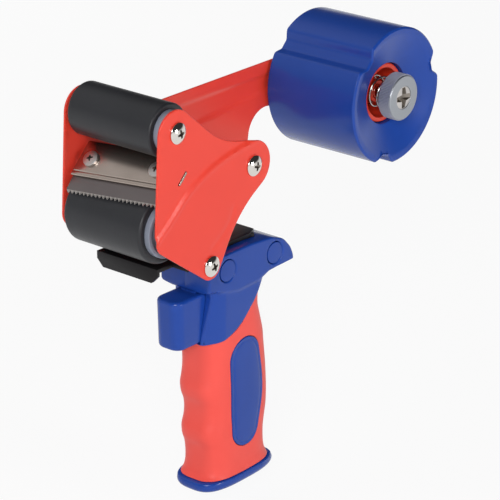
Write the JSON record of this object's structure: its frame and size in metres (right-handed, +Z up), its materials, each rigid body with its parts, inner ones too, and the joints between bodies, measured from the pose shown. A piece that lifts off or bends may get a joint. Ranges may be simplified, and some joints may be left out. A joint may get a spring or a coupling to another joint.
{
  "type": "hand-held tape dispenser",
  "caption": "Hand-held dispenser for parcel tape: pressed steel frame with rubber rollers and toothed blade, arm with braked tape hub, and trigger grip.",
  "frame": {"origin": "middle of the hand grip, on the plane midway between the two side plates", "axes": "+X from the rollers towards the tape hub, +Y from the short side plate to the long one with the arm, +Z up along the grip"},
  "size_m": [0.234, 0.075, 0.2331],
  "materials": {
    "red_paint": "gloss powder coat on pressed steel",
    "red_grip": "satin soft-touch moulding",
    "blue_plastic": "smooth moulded, half gloss",
    "roller_rubber": "fine-ground satin",
    "grey_plastic": "moulded",
    "black_steel": "satin black coat",
    "bright_steel": "nickel-plated, polished",
    "spring_steel": "drawn wire",
    "brushed_steel": "brushed sheet",
    "blade_steel": "dark hardened strip",
    "knob_alloy": "satin, knurled rim",
    "orange_plastic": "moulded"
  },
  "bodies": {
    "frame": {"near_side_plate": "red_paint", "far_side_plate": "red_paint", "near_screw_top": "bright_steel", "near_screw_rear": "bright_steel", "near_screw_bottom": "bright_steel", "far_screw_top": "bright_steel", "far_screw_rear": "bright_steel", "far_screw_bottom": "bright_steel", "top_roller_axle": "bright_steel", "rear_spacer": "bright_steel", "bottom_spacer": "bright_steel", "chassis_bracket": "black_steel", "blade_holder": "brushed_steel", "cutting_blade": "blade_steel", "blade_screw_far": "bright_steel", "blade_screw_near": "bright_steel", "handle_shell_near": "blue_plastic", "handle_shell_far": "blue_plastic", "grip_sleeve": "red_grip", "grip_inlay_near": "blue_plastic", "grip_inlay_far": "blue_plastic", "end_cap": "blue_plastic", "trigger_spring": "spring_steel", "handle_bolt_front": "bright_steel", "handle_bolt_rear": "bright_steel", "near_plug_front": "blue_plastic", "near_plug_rear": "blue_plastic", "far_plug_front": "blue_plastic", "far_plug_rear": "blue_plastic", "hub_spindle": "bright_steel", "spindle_nut": "bright_steel", "friction_washer": "grey_plastic", "brake_cup": "orange_plastic", "brake_spring": "spring_steel", "lock_nut": "bright_steel", "carriage_spring": "spring_steel"},
    "carriage": {"roller_carriage": "black_steel", "lower_roller_axle": "bright_steel"},
    "lower_roller": {"lower_roller_core": "grey_plastic", "lower_roller_sleeve": "roller_rubber"},
    "top_roller": {"top_roller_core": "grey_plastic", "top_roller_sleeve": "roller_rubber"},
    "hub": {"hub_drum": "blue_plastic"},
    "trigger": {"trigger": "blue_plastic"},
    "brake_knob": {"brake_knob": "knob_alloy", "knob_screw": "bright_steel"}
  },
  "joints": [
    {"name": "top_roller_spin", "type": "hinge", "parent": "frame", "child": "top_roller", "pos_m": [-0.07, 0, 0.165], "axis": [0, 1, 0], "continuous": true},
    {"name": "carriage_swing", "type": "hinge", "parent": "frame", "child": "carriage", "pos_m": [-0.047, 0, 0.0891], "axis": [0, -1, 0], "range_deg": [0, 11], "stiffness_Nm_per_rad": 0.5, "springref_deg": -17.19, "deforming": ["carriage_spring"]},
    {"name": "lower_roller_spin", "type": "hinge", "parent": "carriage", "child": "lower_roller", "pos_m": [-0.0709, 0, 0.11355], "axis": [0, 1, 0], "continuous": true},
    {"name": "trigger_slide", "type": "slide", "parent": "frame", "child": "trigger", "axis": [1, 0, 0], "range_m": [0, 0.0045], "stiffness_N_per_m": 60, "springref_m": -0.003, "deforming": ["trigger_spring"]},
    {"name": "hub_spin", "type": "hinge", "parent": "frame", "child": "hub", "pos_m": [0.1075, 0, 0.1391], "axis": [0, 1, 0], "continuous": true},
    {"name": "brake_knob_turn", "type": "hinge", "parent": "frame", "child": "brake_knob", "pos_m": [0.1075, 0, 0.1391], "axis": [0, 1, 0], "range_deg": [-180, 360]}
  ],
  "couplings": [
    {"joint": "trigger_slide", "follows": "carriage_swing", "m_per_rad": 0.0234}
  ]
}
